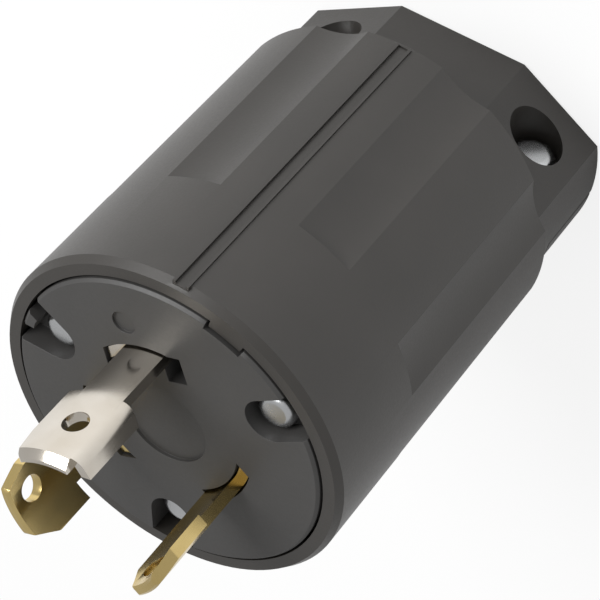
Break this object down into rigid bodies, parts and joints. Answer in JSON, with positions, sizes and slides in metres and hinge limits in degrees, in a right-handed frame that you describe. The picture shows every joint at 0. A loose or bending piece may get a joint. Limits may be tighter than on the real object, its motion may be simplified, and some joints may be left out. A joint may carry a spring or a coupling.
{
  "type": "locking power plug",
  "caption": "Round twist-lock mains plug with curved, notched metal blades on its face, grip scoops round its body and a clamped cord entry at its rear.",
  "frame": {"origin": "centre of the rear face, on the plug's axis", "axes": "+Z along the plug's axis towards the blades, +Y towards the index groove on the side of the body"},
  "size_m": [0.051, 0.0513, 0.0944],
  "materials": {
    "black_nylon": "satin, fine moulded texture",
    "face_nylon": "satin",
    "seal_rubber": "matt",
    "brass": "brushed, stamped",
    "nickel_plate": "bright nickel plate",
    "zinc_steel": "bright zinc plate"
  },
  "bodies": {
    "root": {"housing": "black_nylon", "cord_clamp": "black_nylon", "cord_seal": "seal_rubber", "blade_carrier": "face_nylon", "carrier_backplate": "face_nylon", "ground_blade": "nickel_plate", "line_blade_x": "brass", "line_blade_y": "brass", "terminal_screw_ground": "zinc_steel", "terminal_screw_x": "zinc_steel", "terminal_screw_y": "zinc_steel", "pressure_plate_ground": "brass", "pressure_plate_x": "brass", "pressure_plate_y": "brass", "carrier_screw_a": "zinc_steel", "carrier_screw_b": "zinc_steel", "carrier_screw_c": "zinc_steel", "clamp_screw_left": "zinc_steel", "clamp_screw_right": "zinc_steel", "clamp_nut_left": "zinc_steel", "clamp_nut_right": "zinc_steel"}
  },
  "joints": []
}
